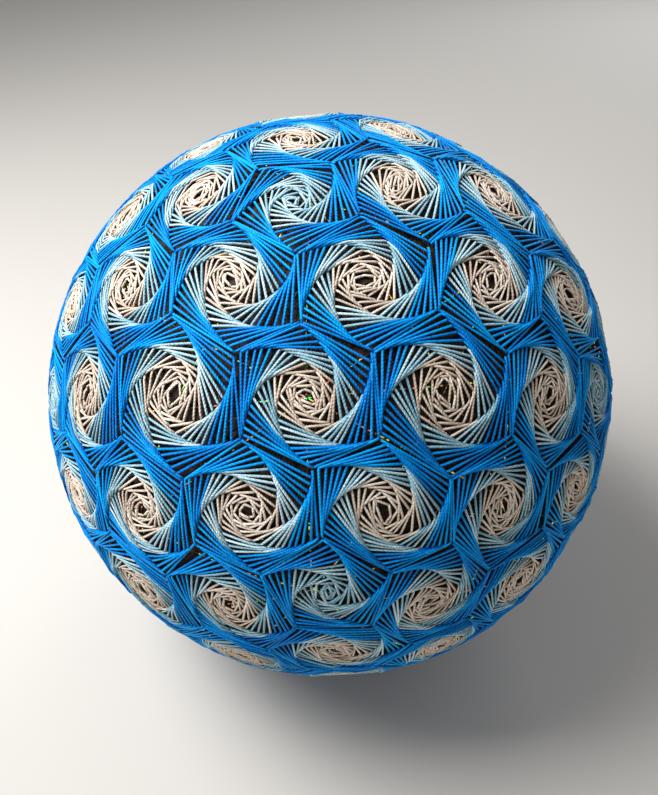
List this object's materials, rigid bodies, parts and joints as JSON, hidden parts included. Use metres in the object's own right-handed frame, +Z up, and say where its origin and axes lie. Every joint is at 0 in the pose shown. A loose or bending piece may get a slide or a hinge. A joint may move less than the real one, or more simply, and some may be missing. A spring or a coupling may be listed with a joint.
{
  "type": "temari ball",
  "caption": "Thread-wound decorative ball with an all-over cover of stitched hexagon and pentagon whirls, resting on a small flat spot.",
  "frame": {"origin": "centre of the ball's flat spot, on the surface it rests on", "axes": "+Z up through the ball's middle, -Y towards the side in the picture"},
  "size_m": [0.1399, 0.14, 0.1391],
  "materials": {
    "black_ball": "wound black sewing thread, matte",
    "blue_thread": "twisted pearl cotton, soft sheen",
    "pale_thread": "twisted pearl cotton, soft sheen",
    "cream_thread": "twisted pearl cotton, soft sheen",
    "metallic_thread": "fine metallic guide thread with coloured glints"
  },
  "bodies": {
    "root": {"wound_ball": "black_ball", "stitched_cover": "blue_thread"}
  },
  "joints": []
}
